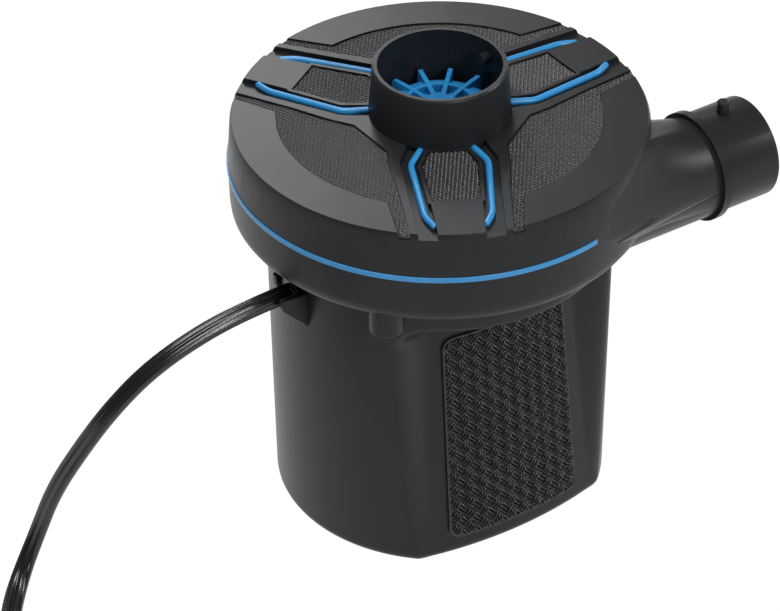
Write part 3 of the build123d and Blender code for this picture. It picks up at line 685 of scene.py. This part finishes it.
def addFairing(s):
    # a cubic line from each point of the edge to the tube: it leaves straight towards the tube
    # and bends a little to arrive along it; the groove is a narrow bell-shaped dip
    edge = np.array(s["edge"], float)
    key = np.arange(len(edge))
    at = np.unique(np.r_[np.linspace(0, key[-1], s["lines"]), s["grooveLines"]])
    azimuth, height, radius, angle = (np.interp(at, key, edge[:, k]) for k in range(4))
    turn = np.radians(azimuth)
    start = np.stack([radius * np.cos(turn), radius * np.sin(turn), height], axis=1)
    spin = np.radians(angle)
    tubeY = s["tubeY"] + s["tubeRadius"] * np.cos(spin)
    tubeZ = s["tubeZ"] + s["tubeRadius"] * np.sin(spin)
    end = np.stack([np.full(len(at), s["tubeX"]), tubeY, tubeZ], axis=1)
    t = np.linspace(0, 1, s["rows"])[:, None, None]
    leave = end - start
    reach = np.linalg.norm(leave, axis=1)[:, None]
    arrive = leave * (1 - s["straighten"]) + np.array([1.0, 0, 0]) * reach * s["straighten"]
    h = ((2 * t**3 - 3 * t**2 + 1) * start + (t**3 - 2 * t**2 + t) * leave
         + (-2 * t**3 + 3 * t**2) * end + (t**3 - t**2) * arrive)
    dip = s["groove"] * np.exp(-(((at - s["grooveLines"][1]) / s["grooveWide"]) ** 2))
    centre = np.array([0.0, s["tubeY"], s["tubeZ"]])
    inward = unit((centre - h) * np.array([0, 1.0, 1.0]))
    h = h + inward * dip[None, :, None]
    return outward(gridMesh("spoutFairing", h * mm))


fairing = addFairing(fairingSetup)
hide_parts("top_cover", "volute_bowl")
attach(fairing, "housing")
print("stage: fairing")

# rubber pads with a basket weave, on the same leaning drum as the body's flats
gripSetup = {
    "low": (5.5, 20.4),
    "high": (67.0, 18.8),
    "corner": 3.2,
    "face": 0.8,
    "sunk": 0.08,
    "border": 0.05,
    "fade": (0.15, 0.75),
    "acrossX": (-21.0, 21.0),
    "upZ": (5.0, 67.5),
    "weave": 2.9,
    "bars": 3,
    "barHalf": 0.34,
    "barHigh": 0.7,
    "barLift": 0.1,
    "cell": 0.165,
}


def weave(x, z, s):
    # squares stand on their corners; bars run along one diagonal in every second square
    # and across it in the others
    p = (x + z) / math.sqrt(2) / s["weave"]
    q = (x - z) / math.sqrt(2) / s["weave"]
    i, j = np.floor(p), np.floor(q)
    fp, fq = p - i, q - j
    even = np.mod(i + j, 2) == 0
    along = np.where(even, fp, fq)
    across = np.where(even, fq, fp)
    k = (across * s["bars"]) % 1 - 0.5
    bar = np.sqrt(np.clip(1 - (k / s["barHalf"]) ** 2, 0, 1))
    arch = np.sqrt(np.clip(1 - ((along - 0.5) / 0.5) ** 2, 0, 1))
    return s["barHigh"] * bar * arch


def addGrip(nodeName, name, side, s):
    # pad from the CAD shape; the woven face follows the leaning drum and sinks into the pad at its outline
    (lowZ, lowHalf), (highZ, highHalf) = s["low"], s["high"]
    x = np.arange(*s["acrossX"], s["cell"])
    z = np.arange(*s["upZ"], s["cell"])
    xx, zz = np.meshgrid(x, z, indexing="ij")
    half = lowHalf + (highHalf - lowHalf) * (zz - lowZ) / (highZ - lowZ)
    r = s["corner"]
    dx = np.abs(xx) - (half - r)
    dz = np.abs(zz - (lowZ + highZ) / 2) - ((highZ - lowZ) / 2 - r)
    depth = r - np.where((dx > 0) & (dz > 0), np.hypot(dx, dz), np.maximum(dx, dz))
    fade = smoothStep(*s["fade"], depth)
    grow = s["face"] - s["sunk"] + fade * (s["barLift"] + weave(xx, zz, s))
    lean = math.atan(bodySetup["lean"])
    q = np.sqrt((bodySetup["drum"] + grow) ** 2 - xx**2)
    y = side * (bodySetup["reach"] + q / math.cos(lean) - zz * bodySetup["lean"])
    obj = plainCopy(nodeName, name)
    return joinSheet(obj, np.stack([xx, y, zz], axis=-1) * mm, depth > s["border"])


grips = [
    addGrip("grip_panel_near", "gripNear", -1, gripSetup),
    addGrip("grip_panel_far", "gripFar", 1, gripSetup),
]
for obj in grips:
    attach(obj, "housing")
print("stage: grips")

# scale of the soft patches, spread of the roughness and depth of the grain in metres
surface = {"patches": 55.0, "spread": 0.05, "relief": 0.0002}
finishes = {
    "charcoal_plastic": {"base": (0.0115, 0.012, 0.0135), "rough": 0.36, "vary": 0.12,
                         "grain": 2600, "bump": 0.08, "shine": 0.2},
    "blue_plastic": {"base": (0.018, 0.19, 0.43), "rough": 0.34, "vary": 0.05,
                     "grain": 1800, "bump": 0.03},
    "mesh_plastic": {"base": (0.010, 0.010, 0.0115), "rough": 0.3, "vary": 0.1,
                     "grain": 2200, "bump": 0.05, "shine": 0.42},
    "grip_rubber": {"base": (0.006, 0.006, 0.0065), "rough": 0.36, "vary": 0.15,
                    "grain": 3000, "bump": 0.05, "shine": 0.5},
    "cord_vinyl": {"base": (0.007, 0.007, 0.0075), "rough": 0.22, "vary": 0.1,
                   "grain": 900, "bump": 0.03},
    "tie_plastic": {"base": (0.02, 0.02, 0.022), "rough": 0.5, "vary": 0.1, "grain": 900, "bump": 0.05},
    "plug_brass": {"base": (0.72, 0.56, 0.28), "rough": 0.24, "vary": 0.06,
                   "grain": 1200, "bump": 0.02, "metal": 1.0},
    "steel": {"base": (0.56, 0.57, 0.58), "rough": 0.3, "vary": 0.08,
              "grain": 1500, "bump": 0.03, "metal": 1.0},
    "screw_steel": {"base": (0.5, 0.5, 0.52), "rough": 0.3, "vary": 0.1,
                    "grain": 1500, "bump": 0.03, "metal": 1.0},
    "copper": {"base": (0.72, 0.34, 0.18), "rough": 0.3, "vary": 0.12,
               "grain": 1500, "bump": 0.04, "metal": 1.0},
    "bronze": {"base": (0.56, 0.38, 0.18), "rough": 0.42, "vary": 0.1,
               "grain": 2500, "bump": 0.05, "metal": 1.0},
    "ferrite": {"base": (0.05, 0.05, 0.052), "rough": 0.6, "vary": 0.15, "grain": 2500, "bump": 0.08},
    "end_cap_plastic": {"base": (0.6, 0.57, 0.5), "rough": 0.45, "vary": 0.05,
                        "grain": 2000, "bump": 0.03},
    "board_green": {"base": (0.03, 0.16, 0.06), "rough": 0.3, "vary": 0.15, "grain": 700, "bump": 0.03},
    "diode_black": {"base": (0.012, 0.012, 0.013), "rough": 0.3, "vary": 0.1,
                    "grain": 1500, "bump": 0.03},
    "wire_red": {"base": (0.45, 0.025, 0.02), "rough": 0.32, "vary": 0.1, "grain": 900, "bump": 0.02},
}


def shaderNode(tree, kind, **values):
    # a new node with its own settings or its inputs given by name
    made = tree.nodes.new(kind)
    for key, value in values.items():
        if hasattr(made, key):
            setattr(made, key, value)
        else:
            made.inputs[key].default_value = value
    return made


def finish(name, f):
    # colour and roughness drift in soft patches; a fine grain raises the surface slightly
    mat = bpy.data.materials.new(name)
    mat.use_nodes = True
    tree = mat.node_tree
    link = tree.links.new
    shader = tree.nodes["Principled BSDF"]
    where = shaderNode(tree, "ShaderNodeTexCoord")
    patches = shaderNode(tree, "ShaderNodeTexNoise", Scale=surface["patches"], Detail=4.0, Roughness=0.55)
    grain = shaderNode(tree, "ShaderNodeTexNoise", Scale=float(f["grain"]), Detail=2.0, Roughness=0.6)
    link(where.outputs["Object"], patches.inputs["Vector"])
    link(where.outputs["Object"], grain.inputs["Vector"])
    ramp = shaderNode(tree, "ShaderNodeValToRGB")
    low = [c * (1 - f["vary"]) for c in f["base"]]
    high = [c * (1 + f["vary"]) for c in f["base"]]
    ramp.color_ramp.elements[0].position = 0.3
    ramp.color_ramp.elements[1].position = 0.7
    ramp.color_ramp.elements[0].color = (*low, 1)
    ramp.color_ramp.elements[1].color = (*high, 1)
    link(patches.outputs["Fac"], ramp.inputs["Fac"])
    link(ramp.outputs["Color"], shader.inputs["Base Color"])
    spread = shaderNode(tree, "ShaderNodeMapRange")
    spread.inputs["To Min"].default_value = f["rough"] - surface["spread"]
    spread.inputs["To Max"].default_value = f["rough"] + surface["spread"]
    link(grain.outputs["Fac"], spread.inputs["Value"])
    link(spread.outputs["Result"], shader.inputs["Roughness"])
    bump = shaderNode(tree, "ShaderNodeBump", Strength=f["bump"], Distance=surface["relief"])
    link(grain.outputs["Fac"], bump.inputs["Height"])
    link(bump.outputs["Normal"], shader.inputs["Normal"])
    shader.inputs["Metallic"].default_value = f.get("metal", 0.0)
    shader.inputs["Specular IOR Level"].default_value = f.get("shine", 0.5)
    return mat


materials = {name: finish(name, f) for name, f in finishes.items()}


def dress(obj, mat):
    # the piece keeps only this material
    obj.data.materials.clear()
    obj.data.materials.append(mat)


for obj in (flexCord, plugBody):
    dress(obj, materials["cord_vinyl"])
dress(coilTie, materials["tie_plastic"])
dress(plugBlades, materials["plug_brass"])
for nodeName, setup in shellSetup.items():
    dress(shells[nodeName], materials[setup[-1]])
for obj in lidMeshes:
    dress(obj, materials["mesh_plastic"])
for obj in beads:
    dress(obj, materials["blue_plastic"])
for obj in grips:
    dress(obj, materials["grip_rubber"])
dress(fanCone, materials["blue_plastic"])
for obj in (fairing, bodyShell, cordFins, *sleeves):
    dress(obj, materials["charcoal_plastic"])
for part in frame["record"]["subparts"]:
    made = nodes[part["node"]]
    if made.material_slots:
        for slotHere in made.material_slots:
            slotHere.material = materials[part["material_slot"]]
    else:
        made.data.materials.append(materials[part["material_slot"]])
print("stage: materials")

# floor, world light and lamps: name, place, target, size and power
stageSetup = {
    "floorSize": 6.0,
    "floorGlow": 1.0,
    "floorBase": 0.02,
    "floorRough": 0.9,
    "world": 0.15,
    "lights": [
        ("key", (-0.25, 0.05, 1.35), (0, 0, 0.1), 0.55, 14.5),
        ("front", (-0.05, -1.3, 0.8), (0, 0, 0.06), 0.3, 12.0),
        ("right", (1.1, -0.5, 0.6), (0.02, 0, 0.08), 0.3, 5.0),
        ("back", (0.4, 1.1, 0.9), (0, 0, 0.1), 0.5, 8.0),
    ],
}


def addLight(name, place, target, size, power):
    data = bpy.data.lights.new(name, "AREA")
    data.shape = "SQUARE"
    data.size = size
    data.energy = power
    lamp = bpy.data.objects.new(name, data)
    lamp.location = place
    lamp.rotation_mode = "QUATERNION"
    lamp.rotation_quaternion = (Vector(target) - Vector(place)).to_track_quat("-Z", "Y")
    scene.collection.objects.link(lamp)


def addStage(s):
    # a pale square floor that glows a little, a dim even world and four soft lamps
    half = s["floorSize"] / 2
    corners = np.array([[[-half, -half, 0], [half, -half, 0]], [[-half, half, 0], [half, half, 0]]])
    floor = gridMesh("floor", corners)
    floorMat = bpy.data.materials.new("floorPaper")
    floorMat.use_nodes = True
    paper = floorMat.node_tree.nodes["Principled BSDF"]
    paper.inputs["Base Color"].default_value = (s["floorBase"], s["floorBase"], s["floorBase"], 1)
    paper.inputs["Roughness"].default_value = s["floorRough"]
    paper.inputs["Emission Color"].default_value = (1, 1, 1, 1)
    paper.inputs["Emission Strength"].default_value = s["floorGlow"]
    dress(floor, floorMat)
    world = bpy.data.worlds.new("studio")
    world.use_nodes = True
    world.node_tree.nodes["Background"].inputs["Color"].default_value = (1, 1, 1, 1)
    world.node_tree.nodes["Background"].inputs["Strength"].default_value = s["world"]
    scene.world = world
    scene.view_settings.view_transform = "Standard"
    for light in s["lights"]:
        addLight(*light)


addStage(stageSetup)
print("stage: lights")
